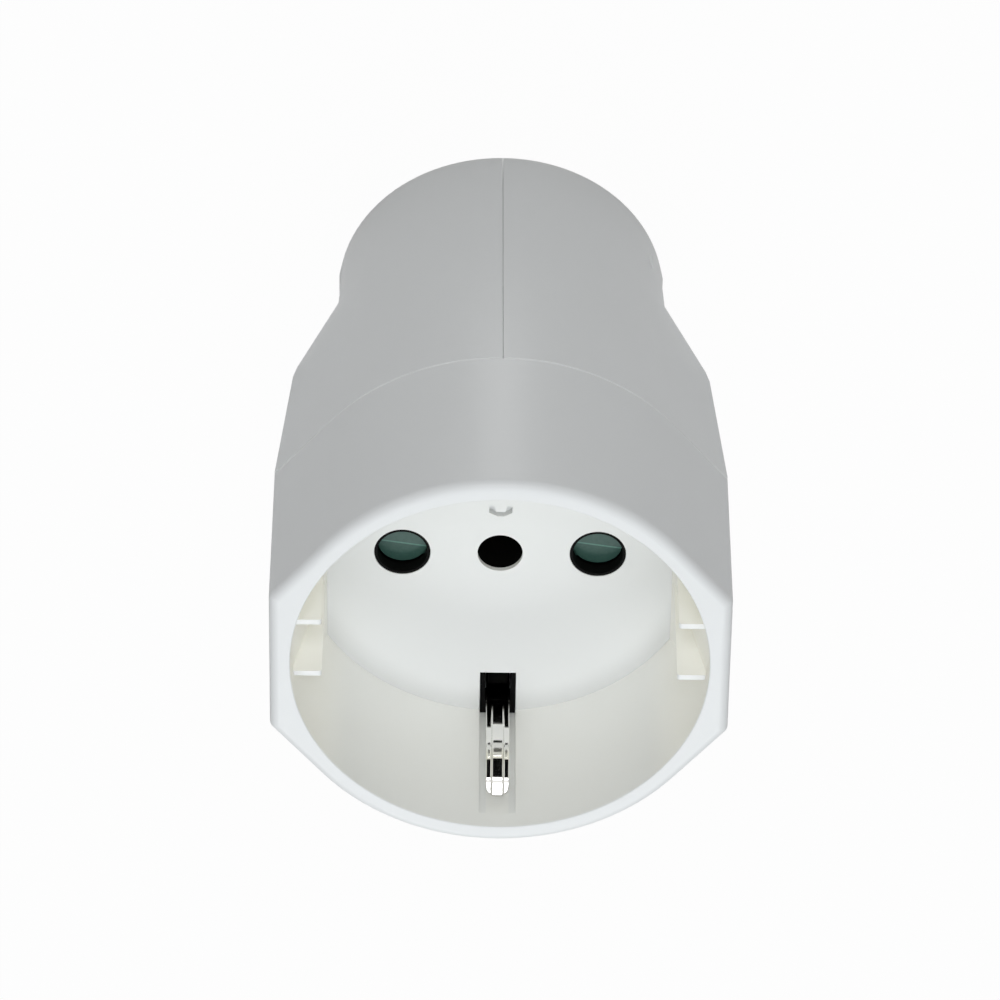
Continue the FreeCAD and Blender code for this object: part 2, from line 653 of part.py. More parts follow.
def make_shell(label, side):
    grip = "(flat_reach - shoulder_reach) / (%s - shoulder_height)" % seam
    ramp = "(shoulder_reach - foot_reach) / (shoulder_height - ramp_foot)"
    shoulder = [
        ("shoulder_height - shoulder_round", "(shoulder_reach - shoulder_round * %s)" % ramp, "0", True),
        ("shoulder_height", "(shoulder_reach - shoulder_drop)", "0", True),
        ("shoulder_height + shoulder_round", "(shoulder_reach + shoulder_round * %s)" % grip, "0", True),
    ]
    outside = [("0", "(rim_reach - rear_edge)", "rear_edge", False), ("rear_edge", "rim_reach", "0", False),
               ("rim_height", "rim_reach", "0", False), ("(rim_height + rim_fall)", "waist_reach", "0", False),
               ("ramp_foot", "foot_reach", "0", False)]
    outside += shoulder + [("(%s - seam_gap - seam_edge)" % seam, "flat_reach", "0", True),
                           ("(%s - seam_gap)" % seam, "(flat_reach - seam_edge)", "seam_edge", True)]
    inside = [("rear_wall", "waist_reach", "0", False), ("ramp_foot", "foot_reach", "0", False)]
    inside += shoulder + [("(%s + seam_gap)" % seam, "flat_reach", "0", True)]
    outer = shell_form(label + "_outside", outside, "0", "parting_gap / 2", side)
    inner = shell_form(label + "_inside", inside, "shell_wall", "parting_gap / 4", side)
    hollow = cut(label + "_hollow", outer, inner)

    ledge = cut(label + "_ledge", rod(label + "_ledge_disc", "shell_radius", "ledge_height",
                                      z="%s - seat_play - ledge_height" % flange_base),
                rod(label + "_ledge_hole", "ledge_radius", "ledge_height + 2 * seam_gap",
                    z="%s - seat_play - ledge_height - seam_gap" % flange_base))
    screws = [("rear_screw_y", "rear_screw_z"), ("front_screw_y", "front_screw_z")]
    bosses = [rod("%s_boss_%d" % (label, at), "boss_radius", "2 * (screw_seat + screw_play)",
                  "-(screw_seat + screw_play)", y, z, along="X") for at, (y, z) in enumerate(screws)]
    inner_parts = common(label + "_inner_parts", outer, fuse(label + "_bosses", ledge, *bosses))
    pieces = [hollow, inner_parts]

    groove = cut(label + "_groove", rod(label + "_groove_disc", "spigot_radius + bead_height + bead_play",
                                        "bead_width + 2 * bead_play",
                                        z="%s - bead_place - bead_play" % seam),
                 rod(label + "_groove_core", "spigot_radius - spigot_wall", "bead_width + 4 * bead_play",
                     z="%s - bead_place - 2 * bead_play" % seam))
    tools = [groove, rod(label + "_cord_inlet", "cord_hole / 2", "rear_wall + 2 * rear_edge", z="-rear_edge")]
    for at, (y, z) in enumerate(screws):
        if side > 0:
            tools.append(rod("%s_pilot_%d" % (label, at), "screw_shank + thread_play",
                             "screw_reach + shell_wall", "-seam_gap", y, z, along="X"))
        else:
            tools.append(rod("%s_way_%d" % (label, at), "screw_shank + screw_play",
                             "screw_seat + seam_gap", "-screw_seat", y, z, along="X"))
            tools.append(rod("%s_counterbore_%d" % (label, at), "screw_head + screw_play",
                             "span / 2 - screw_seat", "-span / 2", y, z, along="X"))
    if side < 0:
        for sign in ("", "-"):
            name = label + ("_post_far" if sign else "_post_near")
            pieces.append(rod(name, "post_radius", "clamp_seat + waist_reach - shell_wall / 2",
                              "-(waist_reach - shell_wall / 2)", sign + "clamp_screw_y", "clamp_z", along="X"))
            tools.append(rod(name + "_pilot", "clamp_screw + thread_play", "clamp_seat + span / 8",
                             "-span / 8", sign + "clamp_screw_y", "clamp_z", along="X"))
    return cut(label, fuse(label + "_solid", *pieces), fuse(label + "_tools", *tools))


# Contact carrier: a round block with two open contact chambers, a flange and two terminal skirts.

def guard_clips(carrier):
    # Two rails beside each clip's leg, joined behind the clip by an end plate that fills the slot.
    base = "(%s + flange_height - seat_play)" % flange_base
    over, out = "(spigot_radius - seat_play)", "(mouth_radius + channel_depth - seat_play)"
    step, top = "(%s + seat_play)" % seam, "(%s - guard_drop)" % floor
    inner, outer = "(clip_width / 2 + seat_play)", "(slot_width / 2 - seat_play / 2)"
    side = [("leg_reach - clip", base), ("flange_radius - seat_play", base),
            (over, "%s + guard_slope" % base), (over, step), (out, step), (out, top),
            ("slot_start + seat_play", top), ("slot_start + seat_play", carrier_top)]
    for name, start in (("right", inner), ("left", "-" + outer)):
        rails = body_sketch(carrier, "clip_rails_" + name, "YZ_Plane", offset=start)
        corners(rails, side)
        corners(rails, [("-(%s)" % y, z) for y, z in reversed(side)])
        pad(carrier, rails, "%s - %s" % (outer, inner))
    ends = body_sketch(carrier, "clip_rail_ends", offset=step)
    for sign in ("", "-"):
        rectangle(ends, "-" + outer, outer, sign + "(clip_root + clip / 2 + guard_gap)", sign + out)
    pad(carrier, ends, "%s - %s" % (top, step))


def make_carrier():
    carrier = new_body("contact_carrier")
    outline = body_sketch(carrier, "carrier_outline", offset="carrier_base")
    disc(outline, "0", "0", "carrier_radius")
    pad(carrier, outline, "%s - carrier_base" % carrier_top)
    flange = body_sketch(carrier, "carrier_flange", offset=flange_base)
    disc(flange, "0", "0", "flange_radius")
    pad(carrier, flange, "flange_height")
    skirts = body_sketch(carrier, "terminal_skirts", offset="carrier_base")
    half = "(terminal_side / 2 + seat_play + skirt_wall)"
    for x in ("-%s" % pin, pin):
        rectangle(skirts, "%s - %s" % (x, half), "%s + %s" % (x, half), "-%s" % half, half)
    pad(carrier, skirts, "skirt_length", down=True)
    cavities = body_sketch(carrier, "terminal_cavities", offset="carrier_base - skirt_length")
    half = "(terminal_side / 2 + seat_play)"
    for x in ("-%s" % pin, pin):
        rectangle(cavities, "%s - %s" % (x, half), "%s + %s" % (x, half), "-%s" % half, half)
    pocket(carrier, cavities, "skirt_length", up=True)
    chambers = body_sketch(carrier, "contact_chambers", offset=carrier_top)
    for x in ("-%s" % pin, pin):
        rectangle(chambers, "%s - chamber_x / 2" % x, "%s + chamber_x / 2" % x,
                  "-chamber_y / 2", "chamber_y / 2")
    pocket(carrier, chambers, "%s - carrier_base - chamber_floor" % carrier_top)
    stems = body_sketch(carrier, "stem_holes", offset="carrier_base + chamber_floor")
    for x in ("-%s" % pin, pin):
        disc(stems, x, "0", "leaf_stem + seat_play")
    pocket(carrier, stems, "chamber_floor")
    centre = body_sketch(carrier, "earth_bore", offset=carrier_top)
    disc(centre, "0", "0", "earth_tube + seat_play")
    pocket(carrier, centre, "%s - carrier_base" % carrier_top)
    pivot = body_sketch(carrier, "pivot_seat", offset=carrier_top)
    disc(pivot, "0", "0", "pivot_radius + seat_play")
    pocket(carrier, pivot, "%s + pivot_length + seat_play - %s" % (carrier_top, plate_under))
    groove = body_sketch(carrier, "spring_groove", offset=carrier_top)
    disc(groove, "0", "0", "spring_radius + spring_wire + seat_play")
    disc(groove, "0", "0", "spring_radius - spring_wire - seat_play")
    pocket(carrier, groove, "2 * spring_wire + seat_play")
    leg = body_sketch(carrier, "spring_leg_hole", offset=spring_z)
    disc(leg, "spring_radius * cos(%s)" % spring_end, "spring_radius * sin(%s)" % spring_end,
         "spring_wire + seat_play")
    pocket(carrier, leg, "spring_leg + seat_play")
    notches = body_sketch(carrier, "leg_notches", offset="%s + flange_height" % flange_base)
    for sign in ("", "-"):
        rectangle(notches, "-(clip_width / 2 + seat_play)", "clip_width / 2 + seat_play",
                  sign + "(leg_reach - clip / 2 - 2 * seat_play)", sign + "(flange_radius + leaf)")
    pocket(carrier, notches, "flange_height")
    guard_clips(carrier)
    ways = body_sketch(carrier, "screw_ways", "XZ_Plane", offset="carrier_radius")
    for x in ("-%s" % pin, pin):
        disc(ways, x, terminal_z, "terminal_screw + seat_play")
    pocket(carrier, ways, "carrier_radius")
    return carrier


# Line and neutral side: tulip contact with a steel clasp, terminal block and its screw.

def make_contact(label, x):
    low = "(carrier_base + leaf_rise + leaf / 2)"
    top = "(%s - leaf_top)" % carrier_top
    gripped = "(%s - leaf_grip_drop)" % top
    back = "(leaf_grip + leaf_belly)"
    right = [("leaf_grip + leaf_flare", top), ("leaf_grip", gripped),
             (back, "(%s + %s) / 2" % (gripped, low)), (back, low)]
    left = [("-(%s)" % y, z) for y, z in reversed(right)]
    leaves = strip(label, right + left, "leaf", "leaf_width")
    stem = rod(label + "_stem", "leaf_stem", "leaf_rise + leaf / 2", z="carrier_base")
    contact = fuse(label, leaves, stem)
    put(contact, x=x)
    return contact


def make_clasp(label, x):
    low = "(carrier_base + chamber_floor + seat_play + clasp / 2)"
    gripped = "(%s - leaf_top - leaf_grip_drop)" % carrier_top
    gap = "(leaf / 2 + clasp / 2 + seat_play / 2)"
    back = "(leaf_grip + leaf_belly + %s)" % gap
    right = [("leaf_grip + %s" % gap, gripped), (back, "(%s + %s) / 2" % (gripped, low)), (back, low)]
    left = [("-(%s)" % y, z) for y, z in reversed(right)]
    bent = strip(label, right + left, "clasp", "clasp_width")
    hole = rod(label + "_hole", "leaf_stem + seat_play", "leaf_rise", z="carrier_base")
    clasp = cut(label, bent, hole)
    put(clasp, x=x)
    return clasp


def make_terminal(label, x, y, top):
    half = "terminal_side / 2"
    body = block(label + "_block", "-" + half, half, "-" + half, half, "-terminal_height", "0")
    wire = rod(label + "_wire_hole", "wire_hole", "terminal_height - skirt_wall",
               z="-terminal_height - skirt_wall")
    thread = rod(label + "_thread", "terminal_screw + thread_play", "terminal_side / 2 + seat_play",
                 y="-terminal_side / 2 - seat_play", z="-terminal_height / 2", along="Y")
    terminal = cut(label, body, fuse(label + "_holes", wire, thread))
    put(terminal, x, y, top)
    return terminal


def make_screw(label, shank, length, head, head_height, place, turn):
    # Slotted cheese head; the head's seat is the screw's own origin and the shank runs down from it.
    screw = new_body(label)
    outline = body_sketch(screw, label + "_outline", "XZ_Plane")
    bevel = "driver_slot / 2"
    corners(outline, [("0", "-(%s)" % length), (shank, "-(%s) + %s" % (length, shank)), (shank, "0"),
                      (head, "0"), (head, "%s - %s" % (head_height, bevel)),
                      ("%s - %s" % (head, bevel), head_height), ("0", head_height)])
    solid = screw.newObject("PartDesign::Revolution", label + "_turned")
    solid.Profile = outline
    solid.ReferenceAxis = (outline, ["V_Axis"])
    solid.Angle = 360
    doc.recompute()
    slot = body_sketch(screw, label + "_slot", offset=head_height)
    rectangle(slot, "-(%s)" % head, head, "-driver_slot / 2", "driver_slot / 2")
    pocket(screw, slot, "(%s) / 2" % head_height)
    screw.Placement = FreeCAD.Placement(V(), turn)
    put(screw, *place)
    return screw


# Shutter group: black holder with two sleeves and a pivot, green two-armed shutter, return spring.

def make_holder():
    holder = new_body("shutter_holder")
    plate = body_sketch(holder, "holder_plate_outline", offset=plate_under)
    disc(plate, "0", "0", "holder_radius")
    pad(holder, plate, "holder_plate")
    sleeves = body_sketch(holder, "holder_sleeves", offset=skin_under)
    for x in ("-%s" % pin, pin):
        disc(sleeves, x, "0", "pin_hole / 2 - sleeve_play")
    pad(holder, sleeves, "face_skin - sleeve_step")
    pivot = body_sketch(holder, "holder_pivot", offset=plate_under)
    disc(pivot, "0", "0", "pivot_radius")
    pad(holder, pivot, "pivot_length", down=True)
    collar = body_sketch(holder, "holder_collar", offset=skin_under)
    disc(collar, "0", "0", "pivot_radius")
    pad(holder, collar, "hole_relief - sleeve_step")
    holes = body_sketch(holder, "holder_holes", offset=floor)
    for x in ("-%s" % pin, pin):
        disc(holes, x, "0", "pin_hole / 2 - sleeve_play - sleeve_wall")
    disc(holes, "0", "0", "pivot_bore")
    pocket(holder, holes, "face_skin + holder_plate + pivot_length")
    return holder


def make_shutter():
    under = "(%s - pivot_play - shutter_thick)" % plate_under
    height = "(shutter_thick - arm_step)"
    hub = rod("shutter_hub_disc", "shutter_hub", "shutter_thick", z=under)
    arms = block("shutter_arms", "-" + pin, pin, "-shutter_arm / 2", "shutter_arm / 2",
                 under, "%s + %s" % (under, height))
    pads = []
    for sign in ("", "-"):
        name = "near" if sign else "far"
        roof = loose_sketch("roof_" + name, "YZ_Plane")
        wide = "1.2 * shutter_pad"
        corners(roof, [("-%s" % wide, "0"), (wide, "0"), (wide, "shutter_thick - shutter_slope"),
                       ("0", "shutter_thick"), ("-%s" % wide, "shutter_thick - shutter_slope")])
        prism = extrusion("prism_" + name, roof, "3 * shutter_pad")
        prism.Placement = turned(V(), V(0, 0, 1), number_of("ridge_angle"))
        prism.setExpression("Placement.Rotation.Angle", formula("ridge_angle"))
        put(prism, sign + pin, z=under)
        pads.append(common("pad_" + name, rod("pad_disc_" + name, "shutter_pad", "shutter_thick",
                                              sign + pin, z=under), prism))
    solid = fuse("shutter_solid", hub, arms, *pads)
    low = "%s - shutter_thick" % under
    bore = rod("shutter_bore", "pivot_radius + pivot_play", "3 * shutter_thick", z=low)
    leg_hole = rod("shutter_leg_hole", "spring_wire + seat_play", "3 * shutter_thick",
                   "spring_radius * cos(spring_start)", "spring_radius * sin(spring_start)", low)
    return cut("shutter", solid, fuse("shutter_holes", bore, leg_hole))


def make_spring():
    # An open wire ring: one leg stands up into the shutter, the other down into the carrier.
    ring = doc.addObject("Part::Torus", "spring_ring")
    bind(ring, {"Radius1": "spring_radius", "Radius2": "spring_wire", "Angle3": "spring_sweep"})
    ring.Placement = turned(V(), V(0, 0, 1), number_of("spring_start"))
    ring.setExpression("Placement.Rotation.Angle", formula("spring_start"))
    put(ring, z=spring_z)
    pieces = [ring]
    for name, angle, low in (("upper", "spring_start", spring_z), ("lower", spring_end, spring_z + " - spring_leg")):
        x = "spring_radius * cos(%s)" % angle
        y = "spring_radius * sin(%s)" % angle
        bend = doc.addObject("Part::Sphere", "spring_bend_" + name)
        bind(bend, {"Radius": "spring_wire"})
        put(bend, x, y, spring_z)
        pieces += [bend, rod("spring_leg_" + name, "spring_wire", "spring_leg", x, y, low)]
    return fuse("shutter_spring", *pieces)


# Earth path: a folded strap with both side clips, the centre contact, a terminal and its screw.

def make_clip(name):
    side = [("leg_reach", "%s + strap / 2" % strap_under), ("leg_reach", "%s - spigot_length + clip" % seam),
            ("clip_root", "%s + clip" % seam), ("clip_root", "%s + clip" % floor),
            ("knee_reach", "length - knee_depth"), ("bend_reach", "length - bend_depth"),
            ("curl_reach", "length - curl_depth"), ("tip_reach", "length - tip_depth")]
    leaf = strip(name, side, "clip", "span")
    front = loose_sketch(name + "_front", "XZ_Plane")
    low = "%s" % strap_under
    top = "(length - tip_depth + clip / 2)"
    half = "clip_width / 2"
    corners(front, [("-" + half, low), (half, low), (half, "length - curl_depth"),
                    ("%s - tip_bevel" % half, top), ("-%s + tip_bevel" % half, top),
                    ("-" + half, "length - curl_depth")])
    blank = common(name + "_blank", leaf, extrusion(name + "_outline", front, "span"))
    ridge = strip(name + "_rib", side[3:], "clip", "clip_rib")
    put(ridge, y="-clip_rib_height")
    return fuse(name, blank, ridge)


def make_strap():
    near = make_clip("clip_near")
    far = make_clip("clip_far")
    far.Placement = turned(V(), V(0, 0, 1), 180)
    bridge = block("strap_bridge", "-strap_width / 2", "strap_width / 2", "-leg_reach", "leg_reach",
                   strap_under, "%s + strap" % strap_under)
    return fuse("earth_strap", bridge, near, far)


def make_earth_contact():
    low = "%s + strap" % strap_under
    top = "%s - earth_tube_top" % seam
    outside = rod("earth_tube_outside", "earth_tube", "%s - (%s)" % (top, low), z=low)
    bore = rod("earth_tube_bore", "earth_bore", "%s - (%s)" % (top, low), z="%s + strap" % low)
    slit = block("earth_tube_slit", "-earth_slit / 2", "earth_slit / 2", "-2 * earth_tube", "2 * earth_tube",
                 "(%s + %s) / 2" % (low, top), "%s + strap" % top)
    cross = block("earth_tube_cross_slit", "-2 * earth_tube", "2 * earth_tube", "-earth_slit / 2",
                  "earth_slit / 2", "(%s + %s) / 2" % (low, top), "%s + strap" % top)
    return cut("earth_contact", outside, fuse("earth_tube_cuts", bore, slit, cross))


# Cord clamp: a bar with a hollow for the cord, held on the left shell's two posts.

def make_clamp():
    clamp = new_body("cord_clamp")
    outline = body_sketch(clamp, "clamp_outline", offset="clamp_z")
    rectangle(outline, "clamp_seat + seat_play", "clamp_seat + seat_play + clamp_thick",
              "-clamp_half", "clamp_half")
    pad(clamp, outline, "clamp_width", both=True)
    hollow = body_sketch(clamp, "clamp_hollow", offset="clamp_z")
    disc(hollow, "0", "0", "cord_radius")
    pocket(clamp, hollow, "2 * clamp_width", both=True)
    holes = body_sketch(clamp, "clamp_holes", "YZ_Plane", offset="clamp_seat + clamp_thick + 2 * seat_play")
    for sign in ("", "-"):
        disc(holes, sign + "clamp_screw_y", "clamp_z", "clamp_screw + screw_play")
    pocket(clamp, holes, "2 * clamp_thick")
    return clamp


parts = [make_front_cup()]
parts += [make_shell("rear_shell_left", -1), make_shell("rear_shell_right", 1)]
parts.append(make_carrier())
for side, x in (("line", "-" + pin), ("neutral", pin)):
    parts.append(make_contact(side + "_contact", x))
    parts.append(make_clasp(side + "_clasp", x))
    parts.append(make_terminal(side + "_terminal", x, "0", "carrier_base"))
    parts.append(make_screw(side + "_terminal_screw", "terminal_screw", head_seat, "terminal_head",
                            "terminal_head_height", (x, "-" + head_seat, terminal_z), UPRIGHT_TO_NEAR))
parts += [make_holder(), make_shutter(), make_spring(), make_strap(), make_earth_contact()]
parts.append(make_terminal("earth_terminal", "0", "-earth_terminal_y", strap_under))
parts.append(make_screw("earth_terminal_screw", "terminal_screw", "terminal_side / 2 + seat_play",
                        "terminal_head", "terminal_head_height",
                        ("0", "-(earth_terminal_y + terminal_side / 2 + seat_play)",
                         "%s - terminal_height / 2" % strap_under), UPRIGHT_TO_NEAR))
parts.append(make_clamp())
for name, sign in (("near", "-"), ("far", "")):
    parts.append(make_screw("clamp_screw_" + name, "clamp_screw", "clamp_thick + 2 * clamp_seat", "clamp_head",
                            "terminal_head_height", ("clamp_seat + 2 * seat_play + clamp_thick",
                                                     sign + "clamp_screw_y", "clamp_z"), UPRIGHT_TO_RIGHT))
for name, y, z in (("rear", "rear_screw_y", "rear_screw_z"), ("front", "front_screw_y", "front_screw_z")):
    parts.append(make_screw("housing_screw_" + name, "screw_shank", "screw_seat + screw_reach", "screw_head",
                            "screw_head_height", ("-screw_seat", y, z), UPRIGHT_TO_LEFT))
doc.recompute()

# Checks before anything is written.
for thing in doc.Objects:
    if "Invalid" in thing.State or "Error" in thing.State:
        raise RuntimeError("%s failed: %s" % (thing.Name, thing.State))
for part in parts:
    part.Label = part.Name
    if part.Shape.isNull() or not part.Shape.isValid() or part.Shape.Volume <= 0:
        raise RuntimeError(part.Label + " has no sound solid")

os.makedirs("parts", exist_ok=True)
for part in parts:
    part.Shape.exportStep("parts/%s.step" % part.Label)
    print("%-24s %2d solid %10.2f mm3" % (part.Label, len(part.Shape.Solids), part.Shape.Volume))
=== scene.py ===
import json
import math
import bpy
import numpy as np
from mathutils import Matrix


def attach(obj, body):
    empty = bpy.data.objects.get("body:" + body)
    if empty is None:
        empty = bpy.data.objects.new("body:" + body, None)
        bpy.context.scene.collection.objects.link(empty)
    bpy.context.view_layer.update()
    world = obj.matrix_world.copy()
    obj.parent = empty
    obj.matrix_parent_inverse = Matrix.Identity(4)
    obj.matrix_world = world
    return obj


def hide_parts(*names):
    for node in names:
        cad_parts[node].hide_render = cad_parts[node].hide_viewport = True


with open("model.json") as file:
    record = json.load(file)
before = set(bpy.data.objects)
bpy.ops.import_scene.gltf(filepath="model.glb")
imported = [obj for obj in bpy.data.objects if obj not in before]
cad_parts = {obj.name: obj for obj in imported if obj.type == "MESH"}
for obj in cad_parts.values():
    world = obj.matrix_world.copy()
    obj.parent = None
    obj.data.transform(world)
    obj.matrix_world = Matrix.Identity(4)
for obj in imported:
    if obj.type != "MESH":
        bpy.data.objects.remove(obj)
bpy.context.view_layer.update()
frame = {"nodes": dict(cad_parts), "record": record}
print("frame loaded")

# Camera: the photo looks into the mouth from above the parting line, with the mouth towards the viewer.
cameraFit = {
    "elevation": 37.64,  # degrees above the mouth's own axis
    "azimuth": -0.513,
    "roll": 0.98,
    "distance": 0.6443,  # metres, along the view, to the centre of the mouth
    "offset": (-0.000015, -0.015888),  # how far the mouth's centre stands off the view axis
    "focalPixels": 6773.146,
    "pictureWidth": 1000,
    "sensor": 36.0,
    "nearest": 0.01,
    "mouthHeight": 0.0613,
}


def linked(made):
    bpy.context.scene.collection.objects.link(made)
    return made


def placeCamera(fit):
    lift, turn, roll = (math.radians(fit[key]) for key in ("elevation", "azimuth", "roll"))
    back = np.array([math.sin(turn) * math.cos(lift), math.sin(lift), math.cos(turn) * math.cos(lift)])
    right = np.cross([0, 1, 0], back)
    right /= np.linalg.norm(right)
    up = np.cross(back, right)
    across = math.cos(roll) * right + math.sin(roll) * up
    above = math.cos(roll) * up - math.sin(roll) * right
    place = fit["distance"] * back - fit["offset"][0] * across - fit["offset"][1] * above
    toFrame = np.diag([-1.0, -1.0, 1.0])  # half a turn about the axis: the picture's up is the part's -Y
    matrix = np.eye(4)
    for column, axis in enumerate((across, above, back)):
        matrix[:3, column] = toFrame @ axis
    matrix[:3, 3] = toFrame @ place + [0, 0, fit["mouthHeight"]]
    data = bpy.data.cameras.new("photoCamera")
    data.sensor_width = fit["sensor"]
    data.lens = fit["focalPixels"] * fit["sensor"] / fit["pictureWidth"]
    data.clip_start = fit["nearest"]
    camera = linked(bpy.data.objects.new("photoCamera", data))
    camera.matrix_world = Matrix(matrix.tolist())
    bpy.context.scene.camera = camera


placeCamera(cameraFit)
bpy.context.scene.view_settings.view_transform = "Standard"
print("camera placed")

# Light: an even white room, three soft lamps and two cards that only mirror rays meet.
studio = {
    "worldColour": (0.985, 1.0, 1.0, 1.0),
    "worldStrength": 0.20,
    "floorColour": (0.55, 0.55, 0.55, 1.0),
    "floorShadow": 0.03,  # share of the floor's own shading that the camera sees
    "floorSize": 3.0,
    "seenColour": (1.0, 1.0, 1.0, 1.0),
    "lampSide": (0.0, 1.0, 0.02),  # no lamp shines along this, so it can turn them level
    "lamps": [
        # name, place, aimed at, size, power in watts, colour
        ("overMouth", (0.0, 0.0, 0.80), (0.0, 0.0, 0.05), 0.30, 1.55, (0.940, 0.985, 1.040)),
        ("behind", (0.0, -0.62, 0.62), (0.0, 0.0, 0.05), 0.26, 1.95, (0.990, 0.998, 1.0)),
        ("front", (0.0, 0.50, 0.50), (0.0, 0.0, 0.05), 0.30, 1.45, (0.960, 0.99, 1.0)),
    ],
    "cards": [
        # name, corners, brightness: a dark one for the clips, a bright one for the collar's sheen
        ("darkCard", [(-0.10, -0.30, 0.085), (0.10, -0.30, 0.085), (0.10, -0.30, 0.235), (-0.10, -0.30, 0.235)], 0.0),
        ("sheenCard", [(-0.006, -0.085, 0.001), (0.006, -0.085, 0.001), (0.006, -0.042, 0.001),
                       (-0.006, -0.042, 0.001)], 5.0),
    ],
}


def mathNode(tree, operation, *values):
    # One calculation; each value is a number or what another node gives.
    node = tree.nodes.new("ShaderNodeMath")
    node.operation = operation
    for at, value in enumerate(values):
        if isinstance(value, (int, float)):
            node.inputs[at].default_value = value
        else:
            tree.links.new(value, node.inputs[at])
    return node.outputs[0]


def mixedShader(tree, share, first, second):
    mix = tree.nodes.new("ShaderNodeMixShader")
    for at, value in enumerate((share, first, second)):
        tree.links.new(value, mix.inputs[at])
    return mix.outputs[0]


def mixedBackground(tree, lit, seen, share):
    # Camera, mirror and clear rays see "seen", all others "lit".
    path = tree.nodes.new("ShaderNodeLightPath").outputs
    cameraOrMirror = mathNode(tree, "MAXIMUM", path["Is Camera Ray"], path["Is Glossy Ray"])
    anyOfThem = mathNode(tree, "MAXIMUM", cameraOrMirror, path["Is Transmission Ray"])
    return mixedShader(tree, mathNode(tree, "MULTIPLY", anyOfThem, share), lit.outputs[0], seen.outputs[0])


def emptyMaterial(name):
    material = bpy.data.materials.new(name)
    material.use_nodes = True
    material.node_tree.nodes.clear()
    return material, material.node_tree


def stageSheet(name, corners, material):
    mesh = bpy.data.meshes.new(name)
    mesh.from_pydata(corners, [], [(0, 1, 2, 3)])
    mesh.materials.append(material)
    linked(bpy.data.objects.new(name, mesh))


def whiteRoom(room):
    world = bpy.data.worlds.new("whiteRoom")
    bpy.context.scene.world = world
    world.use_nodes = True
    tree = world.node_tree
    tree.nodes.clear()
    lit = tree.nodes.new("ShaderNodeBackground")
    lit.inputs["Color"].default_value = room["worldColour"]
    lit.inputs["Strength"].default_value = room["worldStrength"]
    seen = tree.nodes.new("ShaderNodeBackground")
    seen.inputs["Color"].default_value = room["seenColour"]
    out = tree.nodes.new("ShaderNodeOutputWorld")
    tree.links.new(mixedBackground(tree, lit, seen, 1.0), out.inputs["Surface"])


def placeLamp(side, name, place, target, size, power, colour):
    data = bpy.data.lights.new(name, "AREA")
    data.size = size
    data.energy = power
    data.color = colour
    back = np.array(place) - np.array(target)
    back /= np.linalg.norm(back)
    side = np.cross(side, back)
    side /= np.linalg.norm(side)
    matrix = np.eye(4)
    matrix[:3, 0], matrix[:3, 1], matrix[:3, 2], matrix[:3, 3] = side, np.cross(back, side), back, place
    linked(bpy.data.objects.new(name, data)).matrix_world = Matrix(matrix.tolist())


def placeFloor(room):
    material, tree = emptyMaterial("paleFloor")
    lit = tree.nodes.new("ShaderNodeBsdfDiffuse")
    lit.inputs["Color"].default_value = room["floorColour"]
    seen = tree.nodes.new("ShaderNodeEmission")
    seen.inputs["Color"].default_value = room["seenColour"]
    out = tree.nodes.new("ShaderNodeOutputMaterial")
    tree.links.new(mixedBackground(tree, lit, seen, 1.0 - room["floorShadow"]), out.inputs["Surface"])
    half = room["floorSize"] / 2
    stageSheet("floor", [(-half, -half, 0), (half, -half, 0), (half, half, 0), (-half, half, 0)], material)


def placeCard(name, corners, brightness):
    # Clear to every ray but a mirror's.
    material, tree = emptyMaterial(name)
    path = tree.nodes.new("ShaderNodeLightPath").outputs
    clear = tree.nodes.new("ShaderNodeBsdfTransparent")
    shown = tree.nodes.new("ShaderNodeEmission")
    shown.inputs["Strength"].default_value = brightness
    out = tree.nodes.new("ShaderNodeOutputMaterial")
    mix = mixedShader(tree, path["Is Glossy Ray"], clear.outputs[0], shown.outputs[0])
    tree.links.new(mix, out.inputs["Surface"])
    material.cycles.emission_sampling = "NONE"
    stageSheet(name, corners, material)


whiteRoom(studio)
for lamp in studio["lamps"]:
    placeLamp(studio["lampSide"], *lamp)
placeFloor(studio)
for card in studio["cards"]:
    placeCard(*card)
print("room lit")


# Finishes. Every one takes the same moulded or drawn grain, worked out on object coordinates.
def grainGroup():
    group = bpy.data.node_groups.new("surfaceGrain", "ShaderNodeTree")
    sockets = group.interface
    sockets.new_socket("Vector", in_out="INPUT", socket_type="NodeSocketVector")
    for name, value in (("Scale", 900.0), ("Middle", 0.4), ("Spread", 0.06), ("Depth", 0.3)):
        made = sockets.new_socket(name, in_out="INPUT", socket_type="NodeSocketFloat")
        made.default_value = value
    sockets.new_socket("Roughness", in_out="OUTPUT", socket_type="NodeSocketFloat")
    sockets.new_socket("Height", in_out="OUTPUT", socket_type="NodeSocketFloat")
    given = group.nodes.new("NodeGroupInput").outputs
    out = group.nodes.new("NodeGroupOutput").inputs
    noise = group.nodes.new("ShaderNodeTexNoise")
    noise.inputs["Detail"].default_value = 3.0
    group.links.new(given["Vector"], noise.inputs["Vector"])
    group.links.new(given["Scale"], noise.inputs["Scale"])
    centred = mathNode(group, "SUBTRACT", noise.outputs["Fac"], 0.5)
    rough = mathNode(group, "MULTIPLY_ADD", centred, given["Spread"], given["Middle"])
    group.links.new(rough, out["Roughness"])
    group.links.new(mathNode(group, "MULTIPLY", centred, given["Depth"]), out["Height"])
    return group


